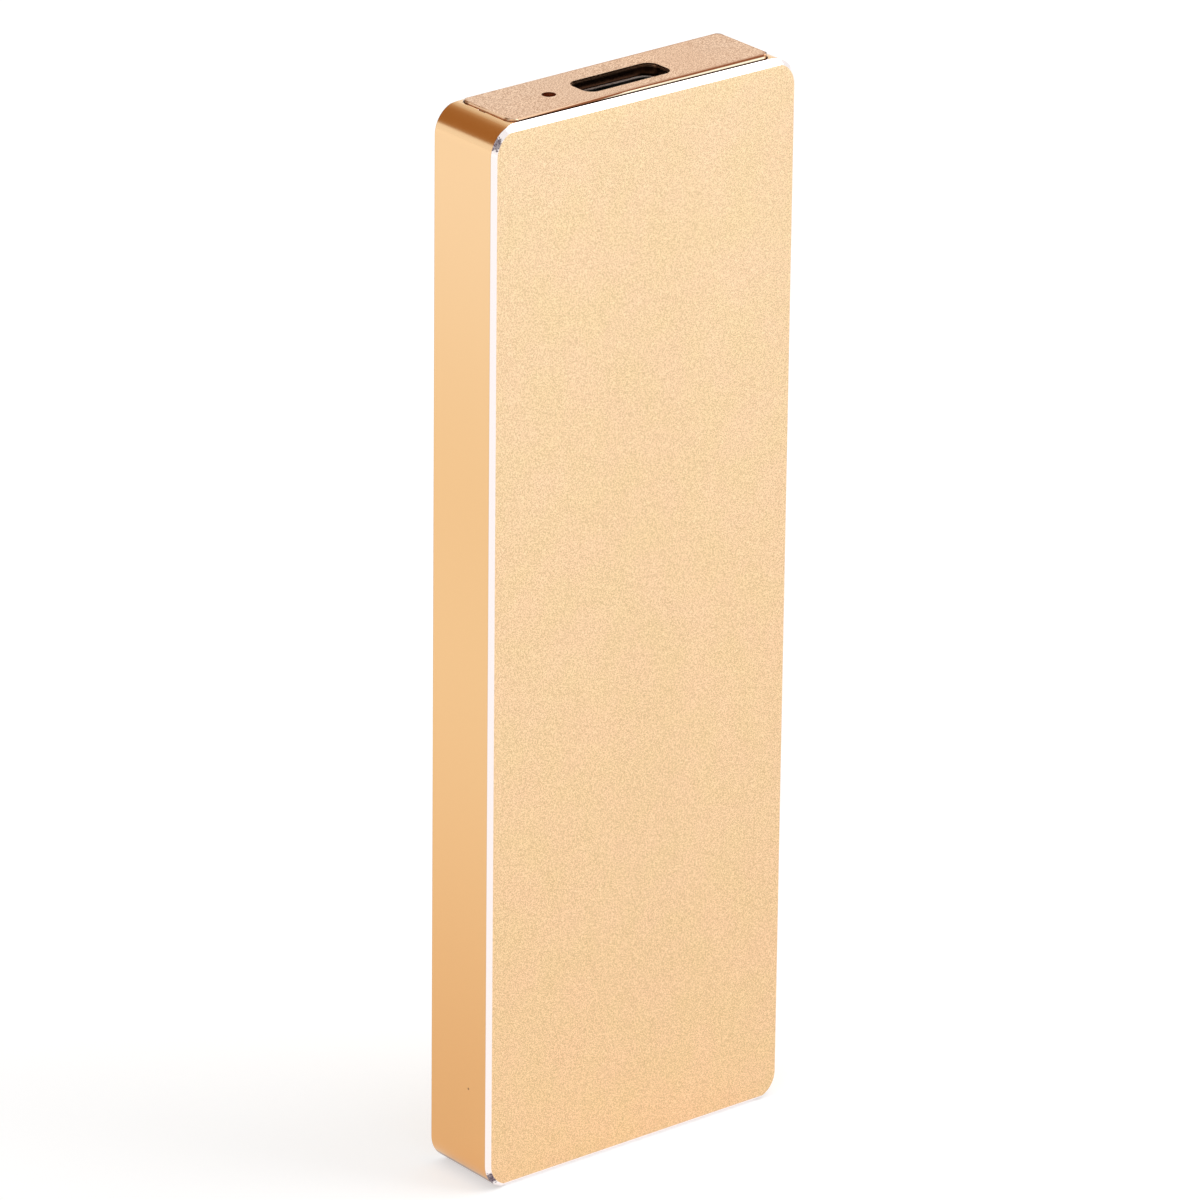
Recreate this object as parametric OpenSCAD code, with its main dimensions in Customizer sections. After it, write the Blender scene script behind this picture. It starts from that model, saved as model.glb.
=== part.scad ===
// Slim portable solid state drive: a drawn aluminium sleeve, a port cap, a blind foot cap
// and one board that carries a USB-C receptacle, a controller and flash memory.
// Origin at the middle of the foot end, Z up the length, the front face looks along -Y.

/* [Sleeve] */
// Width across the two side faces
body_w = 33; // [31:0.5:40]
// Thickness between the two large faces
body_t = 8.5; // [7.6:0.05:10]
// Length from the foot rim to the port rim
body_l = 98.6; // [88:0.2:120]
// Radius of the four corners of a large face
corner_r = 2.6; // [2:0.1:4]
// Bevel along the long edges and round the corners
side_bevel = 0.39; // [0.2:0.01:0.5]
// Wall behind each large face at the two mouths
rim_wall = 0.6; // [0.5:0.02:0.8]
// Flat land left between an end bevel and its mouth
rim_land = 0.04; // [0.02:0.01:0.1]
// Side wall at the two mouths
mouth_wall = 2.35; // [2:0.05:2.6]
// Corner radius of the mouths
mouth_r = 1; // [0.6:0.1:1.5]
// Depth of the shoulder that carries a cap
seat_depth = 1.2; // [1:0.1:2]
// Wall behind each large face inside the shoulders
face_wall = 0.95; // [0.85:0.05:1.2]
// Side wall inside the shoulders
side_wall = 2.9; // [2.7:0.05:3.4]
// Corner radius of the cavity
cavity_r = 0.7; // [0.4:0.1:1.2]
// Depth of the two board guide grooves
groove_depth = 0.65; // [0.5:0.05:0.9]

/* [Caps] */
// Gap round each cap in its mouth
cap_gap = 0.12; // [0.03:0.01:0.15]
// Height of the port cap above the rim at its middle
cap_proud = 0.31; // [0.25:0.01:0.8]
// Slope of the port cap's outer face, up to the right
cap_slope = 0.52; // [0:0.01:0.8]
// Bevel round the port cap's outer face
cap_bevel = 0.12; // [0.1:0.01:0.3]
// Thickness of the adhesive gasket under each cap
gasket_t = 0.15; // [0.1:0.05:0.3]
// Depth of the skirt inside each cap
skirt_l = 2.4; // [1.8:0.1:4]
// Wall of the skirts
skirt_wall = 0.8; // [0.6:0.05:1]
// Gap between a skirt and the cavity
skirt_gap = 0.06; // [0.03:0.01:0.15]
// Length of the two latch arms of the port cap
arm_l = 9; // [7:0.5:12]
// Thickness of a latch arm
arm_t = 0.8; // [0.6:0.05:1]
// Width of a latch arm
arm_w = 1.7; // [1.3:0.1:1.9]
// Height of a latch arm's barb
barb_h = 0.4; // [0.25:0.05:0.5]
// Length of the barb's flat behind its ramp
barb_l = 0.8; // [0.5:0.1:1.2]
// Length of the barb's ramp
barb_ramp = 1.1; // [0.8:0.1:1.5]

/* [Port] */
// Width of the port slot in the cap
slot_w = 9.24; // [9.1:0.02:9.6]
// Height of the port slot in the cap
slot_h = 3.38; // [3.3:0.02:3.6]
// Corner radius of the port slot
slot_r = 1.05; // [0.8:0.05:1.5]
// Offset of the port from the middle plane, towards the back
port_y = -0.45; // [-0.6:0.01:0]
// Width of the receptacle shell
shell_w = 8.94; // [8.9:0.01:9]
// Height of the receptacle shell
shell_h = 3.16; // [3.1:0.01:3.2]
// Corner radius of the shell
shell_r = 1.45; // [1.2:0.05:1.5]
// Sheet thickness of the shell
shell_t = 0.3; // [0.2:0.02:0.32]
// Length of the shell
shell_l = 7.9; // [7.4:0.1:9]
// Depth of the shell's mouth under the sleeve's rim
shell_depth = 0.7; // [0.5:0.05:1]
// Height of the port's middle in front of the board's middle
port_lift = 0.82; // [0.6:0.02:1]
// Width of the receptacle's tongue
tongue_w = 6.69; // [6.6:0.01:6.7]
// Thickness of the tongue
tongue_t = 0.7; // [0.6:0.01:0.72]
// Depth of the tongue's tip inside the shell's mouth
tongue_depth = 1.3; // [1:0.1:1.8]
// Gap between the insulator and the shell
insulator_gap = 0.03; // [0.02:0.01:0.06]
// Length of the insulator block behind the tongue
insulator_l = 2.2; // [1.8:0.1:2.8]
// Rim of the tongue round its steel plate and contacts
tongue_rim = 0.4; // [0.2:0.05:0.6]
// Thickness of the steel plate inside the tongue
mid_plate_t = 0.15; // [0.1:0.01:0.2]
// Pitch of the contacts
contact_pitch = 0.5; // [0.45:0.01:0.52]
// Width of one contact
contact_w = 0.25; // [0.2:0.01:0.3]
// Thickness of one contact
contact_t = 0.1; // [0.08:0.01:0.15]
// Length of a contact's foot on the board
contact_foot_l = 1; // [0.6:0.1:1.4]
// Number of contacts on each face of the tongue
contact_count = 12; // [8:1:12]
// Width of one solder wing of the shell
wing_w = 1.2; // [0.8:0.1:1.5]
// Length of one solder wing
wing_l = 1.3; // [1:0.1:1.8]

/* [Status light] */
// Diameter of the status light hole
led_hole_d = 1.25; // [1:0.05:1.6]
// Offset of the hole from the middle, towards the right
led_x = -7.5; // [-9.5:0.1:-6.8]
// Offset of the hole from the middle plane, towards the back
led_y = -0.21; // [-0.4:0.01:0]
// Gap round the light pipe in its hole
pipe_gap = 0.05; // [0.03:0.01:0.1]
// Depth of the pipe's tip under the rim
pipe_depth = 0.45; // [0.2:0.05:0.8]
// Diameter of the pipe's collar
collar_d = 1.8; // [1.5:0.1:1.8]
// Thickness of the pipe's collar
collar_t = 0.4; // [0.3:0.05:0.6]
// Width of the status lamp
lamp_w = 1.6; // [1.2:0.1:2]
// Length of the status lamp
lamp_l = 0.8; // [0.6:0.1:1.2]
// Height of the status lamp
lamp_h = 0.6; // [0.4:0.05:0.8]
// Distance from the board's port edge to the lamp
lamp_inset = 0.4; // [0.2:0.1:0.8]

/* [Board] */
// Thickness of the board
board_t = 0.8; // [0.6:0.1:1]
// Gap round the board's edges in the grooves
board_gap = 0.05; // [0.03:0.01:0.1]
// Distance from the shoulder to the board's port edge
board_top_gap = 1.3; // [1:0.1:2]
// Distance from the foot cap's skirt to the board
board_foot_gap = 0.3; // [0.2:0.1:1]
// Gap between the board's notch and the shell
notch_gap = 0.1; // [0.06:0.02:0.2]
// Diameter of the board screws
screw_d = 1.4; // [1.2:0.1:1.6]
// Diameter of a screw head
screw_head_d = 2.5; // [2.2:0.1:2.8]
// Height of a screw head
screw_head_h = 0.5; // [0.4:0.05:0.6]
// Gap round a screw in the board
screw_gap = 0.1; // [0.05:0.05:0.2]
// Distance of the screws from the middle
screw_x = 9.6; // [9:0.1:10.2]
// Distance of the screws below the board's port edge
screw_drop = 3.2; // [2.6:0.1:4]
// Width of a carrier lug
lug_w = 4; // [3.6:0.1:4.4]
// Thickness of a carrier lug
lug_t = 1.3; // [1.1:0.05:1.5]

/* [Chips] */
// Width of a flash package
flash_w = 12; // [10:0.5:14]
// Length of a flash package
flash_l = 18; // [14:0.5:18]
// Height of a flash package
flash_h = 1; // [0.8:0.05:1.2]
// Distance between the middles of two flash packages
flash_pitch = 20; // [19:0.5:22]
// Height of the lower flash packages above the foot rim
flash_z = 14; // [14:0.5:18]
// Side of the controller package
controller_w = 10; // [8:0.5:12]
// Height of the controller package
controller_h = 0.9; // [0.7:0.05:1]
// Distance from the board's port edge to the controller's middle
controller_drop = 33; // [32:0.5:36]
// Width of the cache package
cache_w = 9; // [8:0.5:11]
// Length of the cache package
cache_l = 12; // [10:0.5:12]
// Distance from the board's port edge to the cache's middle
cache_drop = 33; // [32:0.5:36]
// Diameter of the dimple that marks a package's first pin
dimple_d = 0.8; // [0.5:0.1:1]
// Depth of the dimple
dimple_depth = 0.05; // [0.03:0.01:0.1]
// Gap between a thermal pad and its wall
pad_gap = 0.02; // [0.01:0.01:0.1]
// Border of a thermal pad beyond its chips
pad_border = 0.5; // [0:0.1:1]
// Thickness of the insulating film on the back wall
film_t = 0.1; // [0.05:0.05:0.2]

/* [Small parts] */
// Distance from the board's side edge to the side column of parts
side_inset = 4.7; // [4.5:0.1:5.5]
// Distance from the board's port edge to the power parts' middles
power_drop = 19; // [18:0.5:20]
// Distance from the board's port edge to the bulk capacitors' middles
bulk_drop = 19; // [18:0.5:20]
// Distance of the rows of small parts from their chip's middle
row_offset = 7.2; // [6.8:0.1:7.5]
// Number of small parts in a row
row_count = 8; // [4:1:14]
// Side of the power coil
coil_w = 3; // [2.5:0.1:4]
// Height of the power coil
coil_h = 1.4; // [1:0.1:1.8]
// Side of the regulator
regulator_w = 3; // [2:0.1:4]
// Width of the clock crystal
crystal_w = 2.5; // [2:0.1:3.2]
// Length of the clock crystal
crystal_l = 3.2; // [2.5:0.1:4]
// Width of the start-up memory
boot_w = 5; // [4:0.1:5]
// Length of the start-up memory
boot_l = 6; // [5:0.1:6]
// Height of the low flat parts
flat_h = 0.8; // [0.6:0.05:1]
// Length of a bulk capacitor
bulk_l = 3.2; // [2.5:0.1:3.5]
// Width of a bulk capacitor
bulk_w = 1.6; // [1.2:0.1:1.8]
// Height of a bulk capacitor
bulk_h = 1.2; // [1:0.1:1.6]
// Length of a small capacitor or resistor
chip_l = 1; // [0.8:0.1:1.2]
// Width of a small capacitor or resistor
chip_w = 0.5; // [0.4:0.05:0.6]
// Height of a small capacitor
chip_h = 0.5; // [0.3:0.05:0.6]
// Height of a resistor
resistor_h = 0.35; // [0.25:0.05:0.4]
// Spacing of small parts in a row
chip_pitch = 1.3; // [1.1:0.1:1.6]

/* [Hidden] */
$fn = 48;
overcut = 1;

end_bevel = rim_wall - rim_land;
mouth_w = body_w - 2 * mouth_wall;
mouth_t = body_t - 2 * rim_wall;
cavity_w = body_w - 2 * side_wall;
cavity_t = body_t - 2 * face_wall;
front_wall_y = -cavity_t / 2;
back_wall_y = cavity_t / 2;
shoulder_z = body_l - seat_depth;
cap_seat_z = shoulder_z + gasket_t;
foot_seat_z = seat_depth - gasket_t;

board_y = port_y + port_lift;
board_front_y = board_y - board_t / 2;
board_back_y = board_y + board_t / 2;
board_w = cavity_w + 2 * (groove_depth - board_gap);
board_top_z = shoulder_z - board_top_gap;
board_foot_z = seat_depth + skirt_l + board_foot_gap;
shell_top_z = body_l - shell_depth;
shell_foot_z = shell_top_z - shell_l;
tongue_top_z = shell_top_z - tongue_depth;
contact_top_z = tongue_top_z - tongue_rim;
row_drop = 2 * contact_t;
notch_z = shell_foot_z - row_drop - contact_t;
contact_foot_z = notch_z - contact_foot_l;
mid_plate_w = tongue_w - 2 * tongue_rim;
inner_w = shell_w - 2 * shell_t;
inner_h = shell_h - 2 * shell_t;
screw_z = board_top_z - screw_drop;
controller_z = board_top_z - controller_drop;
cache_z = board_top_z - cache_drop;
power_z = board_top_z - power_drop;
bulk_z = board_top_z - bulk_drop;
side_column_x = board_w / 2 - side_inset;
barb_z = shoulder_z - arm_l;
arm_x = cavity_w / 2 - skirt_gap - arm_t;
arm_y = board_front_y - board_gap - arm_w - skirt_gap;
lamp_z = board_top_z - lamp_inset - lamp_l / 2;
pipe_d = led_hole_d - 2 * pipe_gap;
film_y = back_wall_y - film_t - pad_gap;

// Rectangle with round corners, in the plane of a cross-section.
module roundedSection(w, h, r) {
    square([w - 2 * r, h], center = true);
    square([w, h - 2 * r], center = true);
    for (sx = [-1, 1], sy = [-1, 1])
        translate([sx * (w / 2 - r), sy * (h / 2 - r)])
            circle(r);
}

// Rectangle with 45 degree bevels, from its foot edge up.
module bevelledSection(w, h, c, y0) {
    polygon([
        [-w / 2 + c, y0], [w / 2 - c, y0], [w / 2, y0 + c], [w / 2, y0 + h - c],
        [w / 2 - c, y0 + h], [-w / 2 + c, y0 + h], [-w / 2, y0 + h - c], [-w / 2, y0 + c]
    ]);
}

// Straight length of a bevelled section along X.
module alongX(length) {
    rotate([90, 0, 90])
        linear_extrude(length, center = true)
            children();
}

// Block on a face of the board: side -1 is the front, 1 is the back.
module onBoard(side, x, z, w, l, h, lift = 0) {
    y = side < 0 ? board_front_y - lift - h : board_back_y + lift;
    translate([x - w / 2, y, z - l / 2])
        cube([w, h, l]);
}

// Outer form of the sleeve: round corners about Y, bevelled on both large faces.
module sleeveForm() {
    straight = body_l - 2 * corner_r;
    intersection() {
        union() {
            translate([0, 0, corner_r])
                linear_extrude(straight)
                    bevelledSection(body_w, body_t, side_bevel, -body_t / 2);
            alongX(body_w - 2 * corner_r)
                bevelledSection(body_t, body_l, side_bevel, 0);
            for (sx = [-1, 1], z = [corner_r, body_l - corner_r])
                translate([sx * (body_w / 2 - corner_r), 0, z])
                    rotate([90, 0, 0])
                        sleeveCorner();
        }
        alongX(body_w + overcut)
            bevelledSection(body_t, body_l, end_bevel, 0);
    }
}

// One corner of the sleeve, turned about its own axis.
module sleeveCorner() {
    half = body_t / 2;
    rotate_extrude()
        polygon([
            [0, -half], [corner_r - side_bevel, -half], [corner_r, -half + side_bevel],
            [corner_r, half - side_bevel], [corner_r - side_bevel, half], [0, half]
        ]);
}

module housing() {
    color("#e8bf8c")
        difference() {
            sleeveForm();
            translate([0, 0, -overcut])
                linear_extrude(body_l + 2 * overcut)
                    roundedSection(cavity_w, cavity_t, cavity_r);
            for (z = [-overcut, shoulder_z])
                translate([0, 0, z])
                    linear_extrude(seat_depth + overcut)
                        roundedSection(mouth_w, mouth_t, mouth_r);
            guideGrooves();
            latchPockets();
        }
}

// Grooves in the side walls that the board slides along.
module guideGrooves() {
    groove_w = cavity_w + 2 * groove_depth;
    groove_t = board_t + 2 * board_gap;
    translate([-groove_w / 2, board_y - groove_t / 2, -overcut])
        cube([groove_w, groove_t, body_l + 2 * overcut]);
}

// Pockets in the side walls that the latch barbs spring into.
module latchPockets() {
    pocket_w = cavity_w + 2 * (barb_h + board_gap);
    pocket_l = barb_l + barb_ramp + 2 * skirt_gap;
    translate([-pocket_w / 2, arm_y - skirt_gap, barb_z - skirt_gap])
        cube([pocket_w, arm_w + 2 * skirt_gap, pocket_l]);
}

// Cap outline with the running gap to its mouth.
module capSection() {
    roundedSection(mouth_w - 2 * cap_gap, mouth_t - 2 * cap_gap, mouth_r - cap_gap);
}

// Skirt that enters the cavity behind a cap.
module skirtSection() {
    w = cavity_w - 2 * skirt_gap;
    t = cavity_t - 2 * skirt_gap;
    difference() {
        roundedSection(w, t, cavity_r);
        square([w - 2 * skirt_wall, t - 2 * skirt_wall], center = true);
    }
}

// Room under the port cap's outer face: bevelled all round and sloped across the width.
module capCrown() {
    crown_w = mouth_w - 2 * cap_gap;
    crown_t = mouth_t - 2 * cap_gap;
    translate([0, 0, body_l + cap_proud])
        rotate([0, -cap_slope, 0])
            intersection() {
                alongX(body_w)
                    bevelledSection(crown_t, 2 * body_t, cap_bevel, -2 * body_t);
                rotate([90, 0, 0])
                    linear_extrude(body_t, center = true)
                        bevelledSection(crown_w, 2 * body_t, cap_bevel, -2 * body_t);
            }
}

module portPlate() {
    intersection() {
        translate([0, 0, cap_seat_z])
            linear_extrude(body_t)
                capSection();
        capCrown();
    }
}

// Latch arm on the right side of the port cap: the barb's ramp leads in first.
module latchArm() {
    translate([arm_x, arm_y + arm_w, 0])
        rotate([90, 0, 0])
            linear_extrude(arm_w)
                polygon([
                    [0, cap_seat_z], [0, barb_z], [arm_t, barb_z],
                    [arm_t + barb_h, barb_z + barb_ramp],
                    [arm_t + barb_h, barb_z + barb_ramp + barb_l],
                    [arm_t, barb_z + barb_ramp + barb_l], [arm_t, cap_seat_z]
                ]);
}

// Lug behind the board that one screw holds.
module carrierLug() {
    lug_l = cap_seat_z - screw_z + lug_w / 2;
    translate([screw_x - lug_w / 2, board_back_y, cap_seat_z - lug_l])
        cube([lug_w, lug_t, lug_l]);
}

module portCap() {
    color("#dcb89a")
        difference() {
            union() {
                portPlate();
                for (side = [0, 1])
                    mirror([side, 0, 0]) {
                        latchArm();
                        carrierLug();
                    }
            }
            translate([0, port_y, shoulder_z])
                linear_extrude(body_t)
                    roundedSection(slot_w, slot_h, slot_r);
            translate([led_x, led_y, shoulder_z])
                cylinder(d = led_hole_d, h = body_t);
            for (sx = [-1, 1])
                translate([sx * screw_x, board_back_y - overcut, screw_z])
                    rotate([-90, 0, 0])
                        cylinder(d = screw_d, h = lug_t + 2 * overcut);
        }
}

module footCap() {
    color("#d9b48f") {
        linear_extrude(foot_seat_z)
            capSection();
        translate([0, 0, foot_seat_z])
            linear_extrude(skirt_l + gasket_t)
                skirtSection();
    }
}

// Flat ring on a shoulder.
module gasketRing(z) {
    translate([0, 0, z])
        linear_extrude(gasket_t)
            difference() {
                capSection();
                square([cavity_w, cavity_t], center = true);
            }
}

module portGasket() {
    color("#2b2b2b")
        gasketRing(shoulder_z);
}

module footGasket() {
    color("#2b2b2b")
        gasketRing(foot_seat_z);
}

module mainBoard() {
    notch_w = shell_w + 2 * notch_gap;
    color("#1f5a3c")
        difference() {
            onBoard(1, 0, (board_top_z + board_foot_z) / 2, board_w,
                board_top_z - board_foot_z, board_t, -board_t);
            translate([-notch_w / 2, board_front_y - overcut, notch_z])
                cube([notch_w, board_t + 2 * overcut, shell_l]);
            for (sx = [-1, 1])
                translate([sx * screw_x, board_front_y - overcut, screw_z])
                    rotate([-90, 0, 0])
                        cylinder(d = screw_d + 2 * screw_gap, h = board_t + 2 * overcut);
        }
}

// Inner space of the receptacle, less a gap all round.
module shellInside(gap) {
    roundedSection(inner_w - 2 * gap, inner_h - 2 * gap, shell_r - shell_t - gap);
}

// Solder wings that lie on the front face of the board beside the notch.
module shellWings() {
    reach = notch_gap + wing_w + shell_t;
    for (side = [0, 1], z = [shell_foot_z + wing_l, shell_foot_z + shell_l / 2 + wing_l / 2])
        mirror([side, 0, 0])
            translate([shell_w / 2 - shell_t, board_front_y - shell_t, z - wing_l / 2])
                cube([reach, shell_t, wing_l]);
}

module usbShell() {
    color("#c9c9c6") {
        translate([0, port_y, shell_foot_z])
            linear_extrude(shell_l)
                difference() {
                    roundedSection(shell_w, shell_h, shell_r);
                    shellInside(0);
                }
        shellWings();
    }
}

// One bent contact: tongue face, through the insulator, then a foot on the board.
// Side -1 is the front row, which bends lower, and 1 the back row.
module usbContact(side) {
    strip_y = port_y + side * (tongue_t - contact_t) / 2;
    foot_y = side < 0 ? board_front_y - contact_t / 2 : board_back_y + contact_t / 2;
    bend_z = shell_foot_z - (side < 0 ? row_drop : 0);
    half = contact_t / 2;
    alongX(contact_w)
        polygon([
            [strip_y - half, contact_top_z], [strip_y + half, contact_top_z],
            [strip_y + half, bend_z], [foot_y + half, bend_z],
            [foot_y + half, contact_foot_z], [foot_y - half, contact_foot_z],
            [foot_y - half, bend_z - contact_t], [strip_y - half, bend_z - contact_t]
        ]);
}

module usbContacts() {
    first_x = -(contact_count - 1) / 2 * contact_pitch;
    color("#d8b24a")
        for (side = [-1, 1], n = [0 : contact_count - 1])
            translate([first_x + n * contact_pitch, 0, 0])
                usbContact(side);
}

module usbMidPlate() {
    color("#b4b4b4")
        translate([-mid_plate_w / 2, port_y - mid_plate_t / 2, shell_foot_z])
            cube([mid_plate_w, mid_plate_t, tongue_top_z - shell_foot_z - tongue_rim]);
}

module usbInsulator() {
    color("#1c1c1e")
        difference() {
            union() {
                translate([0, port_y, shell_foot_z])
                    linear_extrude(insulator_l)
                        shellInside(insulator_gap);
                translate([-tongue_w / 2, port_y - tongue_t / 2, shell_foot_z])
                    cube([tongue_w, tongue_t, tongue_top_z - shell_foot_z]);
            }
            usbContacts();
            usbMidPlate();
        }
}

// Moulded package with a dimple at its first pin.
module package(side, x, z, w, l, h) {
    difference() {
        onBoard(side, x, z, w, l, h);
        translate([x - w / 2 + dimple_d, board_y + side * (board_t / 2 + h), z - l / 2 + dimple_d])
            rotate([90, 0, 0])
                cylinder(d = dimple_d, h = 2 * dimple_depth, center = true);
    }
}

module flashChip(side, n) {
    color("#26282b")
        package(side, 0, flash_z + n * flash_pitch, flash_w, flash_l, flash_h);
}

module controller() {
    color("#26282b")
        package(-1, 0, controller_z, controller_w, controller_w, controller_h);
}

module cacheChip() {
    color("#26282b")
        package(1, 0, cache_z, cache_w, cache_l, controller_h);
}

module bootChip() {
    color("#2c2e31")
        package(1, side_column_x, power_z, boot_w, boot_l, flat_h);
}

module voltageRegulator() {
    color("#2c2e31")
        package(-1, side_column_x, power_z, regulator_w, regulator_w, flat_h);
}

module surgeProtector() {
    color("#2c2e31")
        package(-1, 0, contact_foot_z - crystal_w, crystal_l, crystal_w, flat_h);
}

// Wound coil in a square case with two end terminals.
module powerCoil() {
    terminal = coil_w / 5;
    color("#5b5d60")
        difference() {
            onBoard(-1, -side_column_x, power_z, coil_w, coil_w, coil_h);
            for (side = [-1, 1])
                onBoard(-1, -side_column_x + side * coil_w / 2, power_z, terminal,
                    coil_w / 2, coil_h / 2);
        }
}

module clockCrystal() {
    color("#c8c8c4")
        onBoard(-1, -side_column_x, controller_z, crystal_w, crystal_l, flat_h);
}

module bulkCapacitors() {
    color("#b99b72")
        for (x = [-3 : 2 : 3])
            onBoard(-1, x * bulk_w, bulk_z, bulk_w, bulk_l, bulk_h);
}

// Row of small parts along X, on one face of the board.
module chipRow(side, z, count, h) {
    for (n = [0 : count - 1])
        onBoard(side, (n - (count - 1) / 2) * chip_pitch, z, chip_w, chip_l, h);
}

module smallCapacitors() {
    color("#b08f66")
        for (z = [controller_z - row_offset, controller_z + row_offset])
            chipRow(-1, z, row_count, chip_h);
}

module chipResistors() {
    color("#303236")
        for (z = [cache_z - row_offset, cache_z + row_offset])
            chipRow(1, z, row_count, resistor_h);
}

module statusLamp() {
    color("#e8e4d8")
        onBoard(-1, led_x, lamp_z, lamp_w, lamp_l, lamp_h);
}

// Clear guide: a stem in the cap's hole, a collar under the cap and a foot over the lamp.
module lightPipe() {
    foot_z = lamp_z + lamp_l / 2 + pipe_gap;
    collar_z = cap_seat_z - collar_t;
    color("#6b5a4a") {
        translate([led_x, led_y, collar_z])
            cylinder(d = collar_d, h = collar_t);
        translate([led_x, led_y, collar_z])
            cylinder(d = pipe_d, h = body_l - pipe_depth - collar_z);
        translate([led_x - lamp_w / 2, board_front_y - lamp_h, foot_z])
            cube([lamp_w, lamp_h - pipe_gap, collar_z - foot_z]);
    }
}

// Soft pad between a group of packages and a wall or film.
module thermalPad(y0, y1, w, z0, z1) {
    color("#8fa3b5")
        translate([-w / 2 - pad_border, y0, z0 - pad_border])
            cube([w + 2 * pad_border, y1 - y0, z1 - z0 + 2 * pad_border]);
}

module frontThermalPad() {
    thermalPad(front_wall_y + pad_gap, board_front_y - flash_h, flash_w,
        flash_z - flash_l / 2, flash_z + flash_pitch + flash_l / 2);
}

module backThermalPad() {
    thermalPad(board_back_y + flash_h, film_y, flash_w,
        flash_z - flash_l / 2, flash_z + flash_pitch + flash_l / 2);
}

module controllerPad() {
    thermalPad(front_wall_y + pad_gap, board_front_y - controller_h, controller_w,
        controller_z - controller_w / 2, controller_z + controller_w / 2);
}

module insulatingFilm() {
    w = cavity_w - 2 * cavity_r - 2 * skirt_wall;
    color("#3a3020")
        translate([-w / 2, film_y, board_foot_z])
            cube([w, film_t, screw_z - lug_w - board_foot_z]);
}

// Pan head screw with a cross recess, its shank through the board into the lug.
module boardScrew() {
    slot = screw_d / 5;
    rotate([-90, 0, 0])
        cylinder(d = screw_d, h = board_t + lug_t);
    difference() {
        rotate([90, 0, 0])
            cylinder(d = screw_head_d, h = screw_head_h);
        for (turn = [0, 90])
            rotate([0, turn, 0])
                translate([-screw_d / 2, -screw_head_h - overcut, -slot / 2])
                    cube([screw_d, screw_head_h / 2 + overcut, slot]);
    }
}

module boardScrews() {
    color("#8d8f92")
        for (sx = [-1, 1])
            translate([sx * screw_x, board_front_y, screw_z])
                boardScrew();
}

housing();
portCap();  // port_cap
footCap();  // foot_cap
portGasket();  // port_gasket
footGasket();  // foot_gasket
mainBoard();  // main_board
usbShell();  // usb_shell
usbInsulator();  // usb_insulator
usbMidPlate();  // usb_mid_plate
usbContacts();  // usb_contacts
controller();
flashChip(-1, 0);  // flash_chip_1
flashChip(-1, 1);  // flash_chip_2
flashChip(1, 0);  // flash_chip_3
flashChip(1, 1);  // flash_chip_4
cacheChip();  // cache_chip
bootChip();  // boot_chip
voltageRegulator();  // voltage_regulator
powerCoil();  // power_coil
clockCrystal();  // clock_crystal
surgeProtector();  // surge_protector
bulkCapacitors();  // bulk_capacitors
smallCapacitors();  // small_capacitors
chipResistors();  // chip_resistors
statusLamp();  // status_lamp
lightPipe();  // light_pipe
frontThermalPad();  // front_thermal_pad
backThermalPad();  // back_thermal_pad
controllerPad();  // controller_pad
insulatingFilm();  // insulating_film
boardScrews();  // board_screws
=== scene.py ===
import math

import bpy
from mathutils import Matrix, Vector


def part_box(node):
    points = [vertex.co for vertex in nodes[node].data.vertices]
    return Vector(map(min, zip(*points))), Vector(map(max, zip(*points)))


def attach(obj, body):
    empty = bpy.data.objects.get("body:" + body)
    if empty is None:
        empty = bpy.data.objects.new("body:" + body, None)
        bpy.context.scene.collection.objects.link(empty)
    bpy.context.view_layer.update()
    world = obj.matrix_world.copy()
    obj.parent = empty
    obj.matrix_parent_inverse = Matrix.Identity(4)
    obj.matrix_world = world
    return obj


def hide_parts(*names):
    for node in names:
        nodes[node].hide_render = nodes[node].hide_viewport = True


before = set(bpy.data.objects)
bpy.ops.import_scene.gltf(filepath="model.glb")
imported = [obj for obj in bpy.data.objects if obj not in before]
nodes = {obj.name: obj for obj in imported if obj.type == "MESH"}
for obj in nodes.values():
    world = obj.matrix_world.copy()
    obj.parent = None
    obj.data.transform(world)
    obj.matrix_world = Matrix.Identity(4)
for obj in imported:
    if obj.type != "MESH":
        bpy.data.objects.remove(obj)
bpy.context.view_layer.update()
print("frame loaded:", len(nodes), "nodes")

mm = 0.001  # the CAD gives metres, and sizes below are easier to read in millimetres


def fromMm(*sizes):
    return [size * mm for size in sizes]


# Shader nodes in short form

def addNode(tree, kind, **settings):
    # a new shader node with its own settings, such as its operation
    node = tree.nodes.new(kind)
    for name, value in settings.items():
        setattr(node, name, value)
    return node


def plug(tree, value, socket):
    # joins a socket to a socket, or writes a plain number or colour into it
    if isinstance(value, bpy.types.NodeSocket):
        tree.links.new(value, socket)
    elif isinstance(value, (tuple, list)) and socket.type == "RGBA" and len(value) == 3:
        socket.default_value = (*value, 1.0)
    else:
        socket.default_value = value


def fill(tree, node, **values):
    # plugs a value into each input named, with an underline for the space in a name
    for label, value in values.items():
        plug(tree, value, node.inputs[label.replace("_", " ")])
    return node


def maths(tree, operation, *values, clamp=False):
    node = addNode(tree, "ShaderNodeMath", operation=operation, use_clamp=clamp)
    for socket, value in zip(node.inputs, values):
        plug(tree, value, socket)
    return node.outputs[0]


def product(tree, first, *others):
    for other in others:
        first = maths(tree, "MULTIPLY", first, other)
    return first


def hypot(tree, first, second):
    squares = maths(tree, "ADD", product(tree, first, first), product(tree, second, second))
    return maths(tree, "SQRT", squares)


def distanceTo(tree, first, second, firstCentre, secondCentre):
    # distance from a point, along two of the axes
    return hypot(tree, maths(tree, "SUBTRACT", first, firstCentre),
                 maths(tree, "SUBTRACT", second, secondCentre))


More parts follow.
